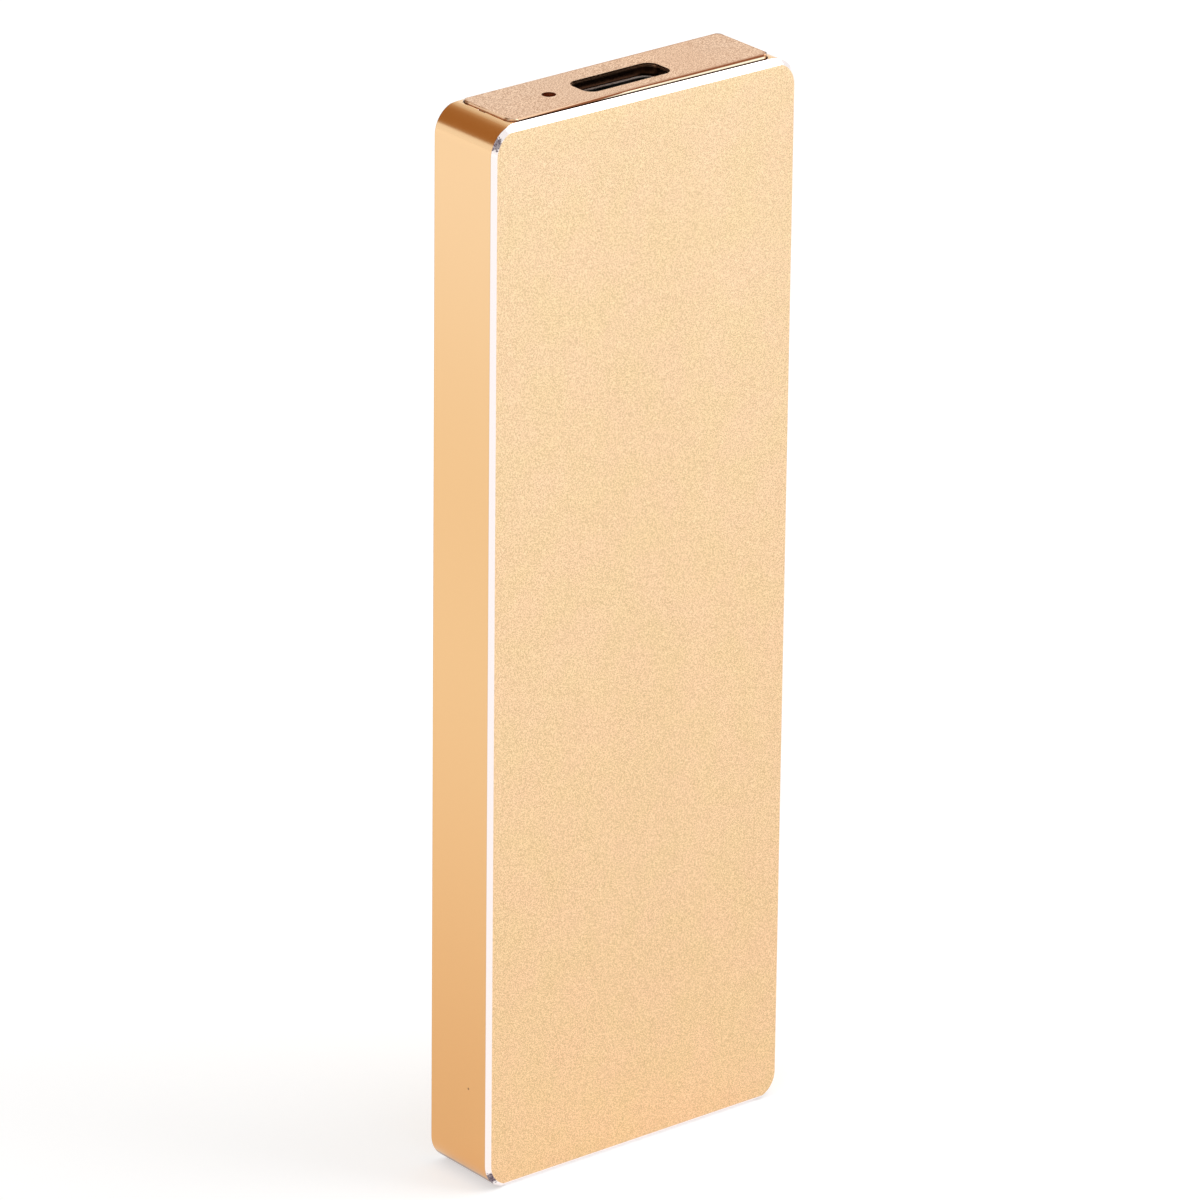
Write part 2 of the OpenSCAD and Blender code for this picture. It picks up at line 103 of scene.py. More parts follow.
def remap(tree, value, low, high, toLow=0.0, toHigh=1.0, smooth=True):
    # takes low..high to toLow..toHigh, eased at both ends
    node = addNode(tree, "ShaderNodeMapRange", interpolation_type="SMOOTHSTEP" if smooth else "LINEAR")
    for socket, part in zip(node.inputs[:5], (value, low, high, toLow, toHigh)):
        plug(tree, part, socket)
    return node.outputs[0]


def mixColour(tree, amount, first, second, blend="MIX"):
    node = addNode(tree, "ShaderNodeMix", data_type="RGBA", blend_type=blend)
    plug(tree, amount, node.inputs[0])
    plug(tree, first, node.inputs[6])
    plug(tree, second, node.inputs[7])
    return node.outputs[2]


def noise(tree, place, scale, detail):
    node = addNode(tree, "ShaderNodeTexNoise")
    return fill(tree, node, Vector=place, Scale=scale, Detail=detail).outputs["Fac"]


def axes(tree, vector):
    node = addNode(tree, "ShaderNodeSeparateXYZ")
    plug(tree, vector, node.inputs[0])
    return node.outputs


def directRays(tree):
    # facts about the ray, and one for rays from the camera or that are mirrored or let through
    rays = addNode(tree, "ShaderNodeLightPath").outputs
    direct = maths(tree, "ADD", rays["Is Camera Ray"], rays["Is Glossy Ray"])
    return rays, maths(tree, "ADD", direct, rays["Is Transmission Ray"], clamp=True)


# Camera, floor and light

view = {
    "place": (-437.11, -542.269, 336.899),  # mm from the middle of the foot
    "yaw": 38.7954,     # degrees, turned from straight back towards the right
    "pitch": 22.3279,   # degrees, looking down
    "roll": -0.6423,
    "lens": 259.987,    # mm
    "sensor": 36.0,     # mm
    "reach": (0.02, 40.0),   # m, nearest and farthest that is seen
}

studio = {
    "floorSize": 6.0,          # m, from the middle to a side
    "floorColour": (0.62, 0.62, 0.62),
    "floorRough": 0.9,
    "floorLift": 0.51,         # what the camera and the metal see added to the lit floor
    "farLift": 0.65,           # the same out where the lamps don't reach
    "liftReach": (0.2, 1.0),   # m from the object, where the first gives way to the second
    "floorDrop": 0.01,         # mm below the foot, so that the two don't flicker
    "floorTouch": 0.03,        # mm, a ray that starts nearer than this passes the floor
    "skyLight": 0.62,          # light of the room on rough surfaces
    "flagColour": (0.385, 0.215, 0.092),
    "flagLeft": (-64.0, -52.0),   # degrees from straight back, where the flag fades in
    "flagRight": (-2.0, 43.0),    # and out
    "flagFoot": (13.0, 15.5),     # degrees up
    "flagTop": (44.0, 60.0),
    "lampAim": (0, 0, 0.05),      # m
}

lamps = {
    "softKey": {"place": (0.75, -0.55, 1.0), "size": 0.9, "watts": 7.5},    # m
    "softFill": {"place": (-1.1, -0.5, 0.6), "size": 0.8, "watts": 2.5},
}


def addObject(name, data):
    thing = bpy.data.objects.new(name, data)
    bpy.context.scene.collection.objects.link(thing)
    return thing


def makeCamera():
    yaw, pitch, roll = (math.radians(view[k]) for k in ("yaw", "pitch", "roll"))
    ahead = Vector((math.sin(yaw) * math.cos(pitch), math.cos(yaw) * math.cos(pitch), -math.sin(pitch)))
    level = ahead.cross(Vector((0, 0, 1))).normalized()
    drop = ahead.cross(level)
    right = math.cos(roll) * level + math.sin(roll) * drop
    down = math.cos(roll) * drop - math.sin(roll) * level
    data = bpy.data.cameras.new("photoCamera")
    data.lens = view["lens"]
    data.sensor_width = view["sensor"]
    data.clip_start, data.clip_end = view["reach"]
    camera = addObject("photoCamera", data)
    turn = Matrix((right, -down, -ahead)).transposed().to_4x4()
    camera.matrix_world = Matrix.Translation(Vector(view["place"]) * mm) @ turn
    bpy.context.scene.camera = camera


def makeLamp(name, place, size, watts):
    data = bpy.data.lights.new(name, "AREA")
    data.shape = "RECTANGLE"
    data.size = data.size_y = size
    data.energy = watts
    lamp = addObject(name, data)
    lamp.location = place
    towards = Vector(studio["lampAim"]) - Vector(place)
    lamp.rotation_euler = towards.to_track_quat("-Z", "Y").to_euler()


def floorFinish():
    paint = bpy.data.materials.new("paleFloor")
    paint.use_nodes = True
    tree = paint.node_tree
    shader = fill(tree, tree.nodes["Principled BSDF"], Base_Color=studio["floorColour"],
                  Roughness=studio["floorRough"], Specular_IOR_Level=0.0, Emission_Color=(1, 1, 1))
    rays, seen = directRays(tree)
    away = addNode(tree, "ShaderNodeVectorMath", operation="LENGTH")
    plug(tree, addNode(tree, "ShaderNodeTexCoord").outputs["Object"], away.inputs[0])
    lift = remap(tree, away.outputs["Value"], *studio["liftReach"], studio["floorLift"], studio["farLift"])
    plug(tree, product(tree, seen, lift), shader.inputs["Emission Strength"])
    # seen from below the floor is clear, and it lets light through to the foot that stands on it
    touching = maths(tree, "LESS_THAN", rays["Ray Length"], studio["floorTouch"] * mm)
    under = addNode(tree, "ShaderNodeNewGeometry").outputs["Backfacing"]
    blend = addNode(tree, "ShaderNodeMixShader")
    plug(tree, maths(tree, "MAXIMUM", under, touching), blend.inputs[0])
    plug(tree, shader.outputs[0], blend.inputs[1])
    plug(tree, addNode(tree, "ShaderNodeBsdfTransparent").outputs[0], blend.inputs[2])
    plug(tree, blend.outputs[0], tree.nodes["Material Output"].inputs["Surface"])
    return paint


def makeFloor():
    size = studio["floorSize"]
    low = -studio["floorDrop"] * mm
    mesh = bpy.data.meshes.new("floor")
    mesh.from_pydata([(-size, -size, low), (size, -size, low), (size, size, low), (-size, size, low)], [],
                     [(0, 1, 2, 3)])
    floor = addObject("floor", mesh)
    mesh.materials.append(floorFinish())


def makeRoom():
    # white room; to the back left a warm dark flag, as photographers put there to draw a corner
    world = bpy.data.worlds.new("studioRoom")
    bpy.context.scene.world = world
    world.use_nodes = True
    tree = world.node_tree
    rays, seen = directRays(tree)
    across, back, up = axes(tree, addNode(tree, "ShaderNodeTexCoord").outputs["Generated"])
    azimuth = maths(tree, "DEGREES", maths(tree, "ARCTAN2", across, back))
    height = maths(tree, "DEGREES", maths(tree, "ARCSINE", up))
    flag = product(tree, remap(tree, azimuth, *studio["flagLeft"]),
                   remap(tree, azimuth, *studio["flagRight"], 1.0, 0.0),
                   remap(tree, height, *studio["flagFoot"]),
                   remap(tree, height, *studio["flagTop"], 1.0, 0.0),
                   rays["Is Glossy Ray"])
    fill(tree, tree.nodes["Background"],
         Color=mixColour(tree, flag, (1.0, 1.0, 1.0), studio["flagColour"]),
         Strength=remap(tree, seen, 0.0, 1.0, studio["skyLight"], 1.0, smooth=False))


makeCamera()
makeFloor()
makeRoom()
for name, lamp in lamps.items():
    makeLamp(name, **lamp)
print("camera, floor and light ready")


# Effects that several finishes share

grainMix = {
    "broadScale": 0.4,         # grains of the broader noise for one of the fine noise
    "broadShare": 0.14,
    "contrast": (0.38, 0.62),  # where in the noise the dark and the light grains end
    "pitScale": 0.16,          # cells for one grain, a part of which hold a pit
    "pitEdge": (0.20, 0.08),
    "pitFree": 0.55,           # share of the cells without one
    "pitTone": 0.45,
    "pitDepth": 0.3,
}

softRange = (0.3, 0.7)   # where in a soft noise its dark and its light patches end


def newGroup(name, inputs, outputs):
    tree = bpy.data.node_groups.new(name, "ShaderNodeTree")
    for label, kind, value in inputs:
        socket = tree.interface.new_socket(label, in_out="INPUT", socket_type=kind)
        if value is not None:
            socket.default_value = value
    for label, kind in outputs:
        tree.interface.new_socket(label, in_out="OUTPUT", socket_type=kind)
    return tree, addNode(tree, "NodeGroupInput").outputs, addNode(tree, "NodeGroupOutput").inputs


def makeGrainGroup():
    # fine pits and peaks of a blasted or moulded face, in grains per metre, and the fleck they draw
    tree, given, result = newGroup("fineGrain", [
        ("Vector", "NodeSocketVector", None),
        ("Grains", "NodeSocketFloat", 6000.0),
        ("Fleck", "NodeSocketFloat", 0.5),
    ], [("Mask", "NodeSocketFloat"), ("Height", "NodeSocketFloat")])
    place, grains = given["Vector"], given["Grains"]
    broadShare = grainMix["broadShare"]
    fine = noise(tree, place, grains, 1.5)
    broad = noise(tree, place, product(tree, grains, grainMix["broadScale"]), 1.0)
    both = maths(tree, "ADD", product(tree, fine, 1 - broadShare), product(tree, broad, broadShare))
    mask = remap(tree, both, *grainMix["contrast"])
    cells = fill(tree, addNode(tree, "ShaderNodeTexVoronoi"), Vector=place,
                 Scale=product(tree, grains, grainMix["pitScale"]))
    chance = axes(tree, cells.outputs["Color"])[0]
    pit = product(tree, remap(tree, cells.outputs["Distance"], *grainMix["pitEdge"]),
                  maths(tree, "GREATER_THAN", chance, grainMix["pitFree"]))
    centred = maths(tree, "SUBTRACT", mask, maths(tree, "MULTIPLY_ADD", pit, grainMix["pitTone"], 0.5))
    plug(tree, maths(tree, "MULTIPLY_ADD", centred, given["Fleck"], 0.5), result["Mask"])
    plug(tree, maths(tree, "SUBTRACT", both, product(tree, pit, grainMix["pitDepth"])), result["Height"])
    return tree


def makeHandlingGroup():
    # broad soft patches of handling and dust, a mask round one half
    tree, given, result = newGroup("handling", [
        ("Vector", "NodeSocketVector", None),
        ("Patches", "NodeSocketFloat", 60.0),
        ("Amount", "NodeSocketFloat", 0.3),
    ], [("Mask", "NodeSocketFloat")])
    patch = noise(tree, given["Vector"], given["Patches"], 4.0)
    shift = maths(tree, "SUBTRACT", remap(tree, patch, *softRange), 0.5)
    plug(tree, maths(tree, "MULTIPLY_ADD", shift, given["Amount"], 0.5), result["Mask"])
    return tree


def makeBrushGroup():
    # hair lines along one axis: that axis is squeezed before the noise is read
    tree, given, result = newGroup("hairLines", [
        ("Vector", "NodeSocketVector", None),
        ("Stretch", "NodeSocketVector", (1.0, 1.0, 0.03)),
        ("Lines", "NodeSocketFloat", 5000.0),
    ], [("Mask", "NodeSocketFloat")])
    squeeze = addNode(tree, "ShaderNodeVectorMath", operation="MULTIPLY")
    plug(tree, given["Vector"], squeeze.inputs[0])
    plug(tree, given["Stretch"], squeeze.inputs[1])
    lines = noise(tree, squeeze.outputs[0], given["Lines"], 3.0)
    plug(tree, remap(tree, lines, *softRange), result["Mask"])
    return tree


grainGroup = makeGrainGroup()
handlingGroup = makeHandlingGroup()
brushGroup = makeBrushGroup()


def useGroup(tree, group, **values):
    return fill(tree, addNode(tree, "ShaderNodeGroup", node_tree=group), **values).outputs


def newMaterial(name, **constants):
    # a Principled material with its plain numbers on the shader's own sockets, and the object's coordinates
    material = bpy.data.materials.new(name)
    material.use_nodes = True
    tree = material.node_tree
    shader = fill(tree, tree.nodes["Principled BSDF"], **constants)
    return material, tree, shader, addNode(tree, "ShaderNodeTexCoord").outputs["Object"]


def bump(tree, shader, height, relief, strength):
    # relief in mm
    node = addNode(tree, "ShaderNodeBump")
    fill(tree, node, Strength=strength, Distance=relief * mm, Height=height)
    plug(tree, node.outputs[0], shader.inputs["Normal"])


def dress(material, nodeNames):
    # puts a finish into every material slot of some CAD nodes
    for nodeName in nodeNames:
        slots = nodes[nodeName].data.materials
        for index in range(len(slots)):
            slots[index] = material
        if not slots:
            slots.append(material)


blast = {"relief": 0.03, "strength": 0.6}   # mm; the sleeve's faces and both caps are blasted alike


# Gold sleeve: blasted front and back, satin sides, bright cut bevels

sleeve = {
    # the face is lighter towards the top: painted light
    "faceTop": (0.905, 0.685, 0.437),
    "faceFoot": (0.850, 0.603, 0.352),
    "grains": 13000.0,                     # per metre
    "darkFleck": (0.78, 0.75, 0.70),       # the grain multiplies the face by these
    "lightFleck": (1.14, 1.15, 1.18),
    "coolPatch": (0.985, 1.0, 0.97),       # and broad patches by these
    "warmPatch": (1.01, 0.99, 1.02),
    "patches": 230.0,
    "smudges": 55.0,
    # the side's tones are painted light and shade: darker at the foot, lighter at the top
    "sideTop": (0.93, 0.625, 0.345),
    "sideMiddle": (0.86, 0.535, 0.255),
    "sideFoot": (0.82, 0.44, 0.175),
    "sideLow": (0.0, 0.55),                # shares of the height over which foot turns into middle
    "sideHigh": (0.62, 1.0),               # and middle into top
    "cornerDarkReflection": (0.89, 0.50, 0.205),   # the polished corners carry a painted dark reflection, deeper in tone
    "cornerFrom": (47.7, 48.2),            # mm up or down from the middle, where they begin
    "landHighlight": (0.95, 0.63, 0.33),      # flat rim beside the cap, paler as a painted highlight
    "landFrom": (0.9, 0.99),               # how squarely a surface looks up where it counts as the rim
    "footShade": (0.20, 0.09, 0.06),        # painted shade where the corners turn into the foot
    "footShadeFrom": (1.35, 0.95, 0.0, 0.9),   # mm up, where it begins and is full, and how strong
    "borderLine": (0.45, 0.24, 0.10),      # thin line that ends the satin side at the bevel
    "borderFrom": (0.50, 0.40),            # mm in from the front and back faces
    "borderShare": (0.45, 0.8),            # on the straight side and in the corners
    "bevelColour": (0.925, 0.85, 0.835),
    "bevelFrom": (0.12, 0.3),              # how squarely a surface looks ahead where it counts as bevel
    "faceFrom": (0.88, 0.98),              # and where it counts as face
    "faceRough": 0.52,
    "sideRough": 0.2,
    "bevelRough": 0.16,
    "unevenRough": 0.04,
}

# a pit on the left side, and the painted dark reflection at two bevel corners
sleeveWearAndReflection = {
    "speck": (-1.44, 9.18, 0.15),          # mm, deep, up and radius of one pit on the left side
    "speckColour": (0.22, 0.10, 0.05),
    "speckCore": 0.4,                      # share of the radius that is full, and how strong
    "speckShare": 0.8,
    "marks": [(-16.12, 97.30, 0.62), (-15.98, 1.25, 0.66)],   # mm, across, up and radius, on the front bevel, of grey patches of painted dark reflection
    "markReflectionColour": (0.12, 0.085, 0.11),
    "markFade": 0.12,                      # mm
    "markRagged": (0.35, -0.17),           # mm, spread and shift of its border
    "facets": 7500.0,                      # per metre
    "facetShade": (0.7, 1.0),
}


def bevelReflectionMarks(tree, place, across, deep, up):
    # grey patches painted at two corners of the front bevel as painted dark reflection where the bevel
    # turns, drawn as rough facets with ragged borders
    cells = fill(tree, addNode(tree, "ShaderNodeTexVoronoi"), Vector=place, Scale=sleeveWearAndReflection["facets"])
    chance, second, _ = axes(tree, cells.outputs["Color"])
    ragged = maths(tree, "MULTIPLY_ADD", chance, *fromMm(*sleeveWearAndReflection["markRagged"]))
    marked = 0.0
    for markX, markZ, radius in sleeveWearAndReflection["marks"]:
        away = maths(tree, "ADD", distanceTo(tree, across, up, markX * mm, markZ * mm), ragged)
        spot = remap(tree, away, *fromMm(radius, radius - sleeveWearAndReflection["markFade"]))
        marked = maths(tree, "MAXIMUM", marked, spot)
    front = maths(tree, "LESS_THAN", deep, 0.0)
    shade = remap(tree, second, 0.1, 0.9, *sleeveWearAndReflection["facetShade"])
    return product(tree, marked, front, shade)


def sleeveSide(tree, across, deep, up, lookingUp, high):
    # satin side: its tone from foot to top in painted light and shade, the painted dark reflection on the
    # corners, the painted highlight on the rim, the painted shade along the foot, the pit, the bevel's
    # border
    level = maths(tree, "DIVIDE", up, high.z)
    side = mixColour(tree, remap(tree, level, *sleeve["sideLow"]), sleeve["sideFoot"], sleeve["sideMiddle"])
    side = mixColour(tree, remap(tree, level, *sleeve["sideHigh"]), side, sleeve["sideTop"])
    fromMiddle = maths(tree, "ABSOLUTE", maths(tree, "SUBTRACT", up, high.z / 2))
    onCorner = remap(tree, fromMiddle, *fromMm(*sleeve["cornerFrom"]))
    side = mixColour(tree, onCorner, side, sleeve["cornerDarkReflection"])
    side = mixColour(tree, remap(tree, lookingUp, *sleeve["landFrom"]), side, sleeve["landHighlight"])
    lineFrom, lineTo, *strength = sleeve["footShadeFrom"]
    side = mixColour(tree, remap(tree, up, *fromMm(lineFrom, lineTo), *strength), side, sleeve["footShade"])
    speckY, speckZ, radius = fromMm(*sleeveWearAndReflection["speck"])
    away = distanceTo(tree, deep, up, speckY, speckZ)
    pitted = remap(tree, away, radius, sleeveWearAndReflection["speckCore"] * radius, 0.0, sleeveWearAndReflection["speckShare"])
    pitted = product(tree, pitted, maths(tree, "LESS_THAN", across, 0.0))
    side = mixColour(tree, pitted, side, sleeveWearAndReflection["speckColour"])
    borderFrom = (high.y - inward * mm for inward in sleeve["borderFrom"])
    border = remap(tree, maths(tree, "ABSOLUTE", deep), *borderFrom)
    border = product(tree, border, remap(tree, onCorner, 0.0, 1.0, *sleeve["borderShare"]))
    return mixColour(tree, border, side, sleeve["borderLine"])


def sleeveFace(tree, place, up, high, fleck):
    # blasted face: lighter towards the top as painted light, flecked, in faint patches
    level = maths(tree, "DIVIDE", up, high.z)
    face = mixColour(tree, remap(tree, level, 0.0, 1.0, smooth=False), sleeve["faceFoot"], sleeve["faceTop"])
    tone = mixColour(tree, fleck, sleeve["darkFleck"], sleeve["lightFleck"])
    face = mixColour(tree, 1.0, face, tone, "MULTIPLY")
    patch = useGroup(tree, handlingGroup, Vector=place, Patches=sleeve["patches"], Amount=1.0)["Mask"]
    tone = mixColour(tree, patch, sleeve["coolPatch"], sleeve["warmPatch"])
    return mixColour(tree, 1.0, face, tone, "MULTIPLY")


def sleeveFinish():
    material, tree, shader, place = newMaterial("goldSleeve", Metallic=1.0)
    _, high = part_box("housing")
    across, deep, up = axes(tree, place)
    facing = axes(tree, addNode(tree, "ShaderNodeNewGeometry").outputs["True Normal"])
    straight = maths(tree, "ABSOLUTE", facing[1])
    onFace = remap(tree, straight, *sleeve["faceFrom"])
    onBevel = maths(tree, "SUBTRACT", remap(tree, straight, *sleeve["bevelFrom"]), onFace, clamp=True)
    grain = useGroup(tree, grainGroup, Vector=place, Grains=sleeve["grains"], Fleck=1.0)
    side = sleeveSide(tree, across, deep, up, facing[2], high)
    face = sleeveFace(tree, place, up, high, grain["Mask"])
    marked = bevelReflectionMarks(tree, place, across, deep, up)
    cut = mixColour(tree, marked, sleeve["bevelColour"], sleeveWearAndReflection["markReflectionColour"])
    colour = mixColour(tree, onBevel, mixColour(tree, onFace, side, face), cut)
    plug(tree, colour, shader.inputs["Base Color"])
    rough = remap(tree, onFace, 0.0, 1.0, sleeve["sideRough"], sleeve["faceRough"], smooth=False)
    rough = remap(tree, onBevel, 0.0, 1.0, rough, sleeve["bevelRough"], smooth=False)
    smudge = useGroup(tree, handlingGroup, Vector=place, Patches=sleeve["smudges"], Amount=0.6)["Mask"]
    uneven = remap(tree, smudge, 0.0, 1.0, -sleeve["unevenRough"], sleeve["unevenRough"], smooth=False)
    plug(tree, maths(tree, "ADD", rough, uneven, clamp=True), shader.inputs["Roughness"])
    bump(tree, shader, product(tree, grain["Height"], onFace), **blast)
    return material


# Tan end caps: blasted, a little rosier than the sleeve, with painted shade in the slot and painted light
# and shade along the upper edge

cap = {
    "colour": (1.0, 0.748, 0.538),
    "deepColour": (0.615, 0.375, 0.228),
    "grains": 8800.0,                      # per metre
    "rough": 0.5,
    "unevenRough": 0.06,
    "smudges": 90.0,
    "rim": 98.6,                           # mm, height of the sleeve's rim
    "proud": 0.31,                         # mm, height of the cap above it at the middle
    "slope": 0.52,                         # degrees, up to the right
    "half": (14.03, 3.53, 0.88),           # mm, half width, half thickness and corner radius
    "bevel": 0.12,                         # mm
    "bevelFade": (-0.02, 0.04),            # mm, softness of its border with the face
    "backIn": 0.06,                        # mm, by which the back edge is read further in, to show no line
    "rolledShadeColour": (0.50, 0.25, 0.13),    # painted shade on the face beside the front edge
    "rolled": (0.4, 0.62),                 # mm wide, and how strong at the edge
    "rolledEnds": 0.25,                    # share of it at the two ends
    "rolledAcross": (-9.0, 1.0, 0.2),      # mm across, weakest on the left and full on the right
}

# the cap's wall colours below are painted light and shade
capWallShading = {
    "frontFrom": (-0.35, 0.0),             # mm past where the corners begin, for the long walls
    "cornerFrom": (0.1, 0.45),             # mm into a corner, where the long wall gives way
    "head": (0.28, 0.185, 0.12),           # painted shade on the head of the long wall, where the key light lies
    # painted highlight on the head of the low walls at both ends
    "endHead": (1.0, 0.78, 0.56),
    "line": (0.085, 0.027, 0.011),         # painted shade: a dark line that ends the blasted face
    "lowLine": (0.24, 0.09, 0.04),         # the same painted shade further down, on the upright wall
    "bright": (0.98, 0.88, 0.66),          # painted reflection: a bright wall below that line
    "endWall": (0.72, 0.41, 0.22),         # painted reflection on the low wall at both ends
    "cornerTone": (0.26, 0.14, 0.08),      # painted shade taken up by the two front corners
    "cornerShare": 0.6,
    "seam": (0.10, 0.045, 0.022),          # painted shadow where the wall goes down into the sleeve
    "headFoot": (-14.0, -1.0, 0.13, -0.01),   # mm across at two places, and the head's depth there
    "lineFoot": (-8.0, -2.0, 0.30, 0.11),     # the same for the foot of the line
    "lineSinks": (0.0, 14.0, 0.0, 0.06),      # and for what is added to it on the right
    "lineTurn": (0.10, 0.14),              # mm deep, where the line's two tones meet
    "soft": 0.02,                          # mm, half the softness of the line's borders
    "seamFrom": (0.06, 0.10),              # mm above the rim
    "closing": (13.55, 13.72),             # mm across, where the painted seam shadow takes the whole wall
    "rough": (0.6, 0.3),                   # at the ends, and on the long walls and inside
}

# the walls of the slot and the light's hole are painted darker with depth, as painted shade in the recesses,
# with a lighter painted band below the lip
capHollowShade = {
    "slot": (0.0, -0.45, 4.62, 1.69),      # mm, middle and half size of the port's slot
    "lightHole": (-7.5, -0.21, 0.625),     # mm, middle and radius
    "margin": 0.05,                        # mm round both
    "from": (0.01, 0.05),                  # mm deep, where the inside begins
    "lip": (0.12, 0.035, 0.014),
    "lipTo": (0.09, 0.17),                 # mm deep
    "top": (0.62, 0.37, 0.23),
    "topTo": (0.18, 0.42),
    "foot": (0.05, 0.022, 0.012),
    "holeWall": (0.64, 0.27, 0.12),
}


def capOutline(tree, across, deep):
    # distance in from the cap's nearest edge, what is a long wall, and how far a place lies into a corner
    halfWidth, halfDeep, corner = fromMm(*cap["half"])
    outX = maths(tree, "SUBTRACT", maths(tree, "ABSOLUTE", across), halfWidth - corner)
    outY = maths(tree, "SUBTRACT", maths(tree, "ABSOLUTE", deep), halfDeep - corner)
    intoCorner = maths(tree, "MAXIMUM", outX, 0.0)
    reach = hypot(tree, intoCorner, maths(tree, "MAXIMUM", outY, 0.0))
    within = maths(tree, "MINIMUM", maths(tree, "MAXIMUM", outX, outY), 0.0)
    edge = maths(tree, "SUBTRACT", corner, maths(tree, "ADD", reach, within))
    onBack = maths(tree, "GREATER_THAN", deep, 0.0)
    edge = maths(tree, "MULTIPLY_ADD", onBack, cap["backIn"] * mm, edge)
    return edge, remap(tree, outY, *fromMm(*capWallShading["frontFrom"])), intoCorner


def rolledEdgeShade(tree, colour, edge, onLong, across):
    # painted shade: the face turns darker towards its front edge, most of all on the right
    width, most = cap["rolled"]
    left, right, least = cap["rolledAcross"]
    amount = product(tree, remap(tree, edge, *fromMm(cap["bevel"], cap["bevel"] + width), most, 0.0),
                     remap(tree, onLong, 0.0, 1.0, cap["rolledEnds"], 1.0),
                     remap(tree, across, *fromMm(left, right), least, 1.0))
    return mixColour(tree, amount, colour, cap["rolledShadeColour"])


def capWallShadingColour(tree, across, up, depth, onLong, intoCorner):
    # the wall, all painted light and shade: a brown shade line at its head, then a bright painted
    # reflection, then painted shadow where it enters the sleeve
    def past(level):
        return remap(tree, maths(tree, "SUBTRACT", depth, level), *fromMm(-capWallShading["soft"], capWallShading["soft"]))

    headFoot, lineFoot, sinks = (remap(tree, across, *fromMm(*capWallShading[part]), smooth=False)
                                 for part in ("headFoot", "lineFoot", "lineSinks"))
    line = remap(tree, depth, *fromMm(*capWallShading["lineTurn"]))
    line = mixColour(tree, line, capWallShading["line"], capWallShading["lowLine"])
    wall = mixColour(tree, past(maths(tree, "ADD", lineFoot, sinks)), line, capWallShading["bright"])
    seamFrom = (cap["rim"] + above for above in capWallShading["seamFrom"])
    wall = mixColour(tree, remap(tree, up, *fromMm(*seamFrom), 1.0, 0.0), wall, capWallShading["seam"])
    onStraight = product(tree, onLong, remap(tree, intoCorner, *fromMm(*capWallShading["cornerFrom"]), 1.0, 0.0))
    wall = mixColour(tree, onStraight, capWallShading["endWall"], wall)
    closing = remap(tree, across, *fromMm(*capWallShading["closing"]))
    wall = mixColour(tree, product(tree, closing, onLong), wall, capWallShading["seam"])
    head = mixColour(tree, onStraight, capWallShading["endHead"], capWallShading["head"])
    wall = mixColour(tree, past(headFoot), head, wall)
    onCorner = maths(tree, "SUBTRACT", onLong, onStraight, clamp=True)
    return mixColour(tree, product(tree, onCorner, capWallShading["cornerShare"]), wall, capWallShading["cornerTone"])


def capHollowShadeColour(tree, across, deep, depth):
    # mask and painted shade of the walls of the slot and of the light's hole: a dark lip, a lighter painted
    # band, then darker with depth
    def near(value, middle, half):
        return maths(tree, "LESS_THAN", maths(tree, "ABSOLUTE", maths(tree, "SUBTRACT", value, middle)),
                     half + capHollowShade["margin"] * mm)

    slotX, slotY, halfWidth, halfDeep = fromMm(*capHollowShade["slot"])
    inSlot = product(tree, near(across, slotX, halfWidth), near(deep, slotY, halfDeep))
    holeX, holeY, radius = fromMm(*capHollowShade["lightHole"])
    inHole = maths(tree, "LESS_THAN", distanceTo(tree, across, deep, holeX, holeY),
                   radius + capHollowShade["margin"] * mm)
    below, pastLip, pastTop = (remap(tree, depth, *fromMm(*capHollowShade[part]))
                               for part in ("from", "lipTo", "topTo"))
    inside = product(tree, maths(tree, "MAXIMUM", inSlot, inHole), below)
    tone = mixColour(tree, pastTop, capHollowShade["top"], capHollowShade["foot"])
    tone = mixColour(tree, pastLip, capHollowShade["lip"], tone)
    return inside, mixColour(tree, inHole, tone, capHollowShade["holeWall"])


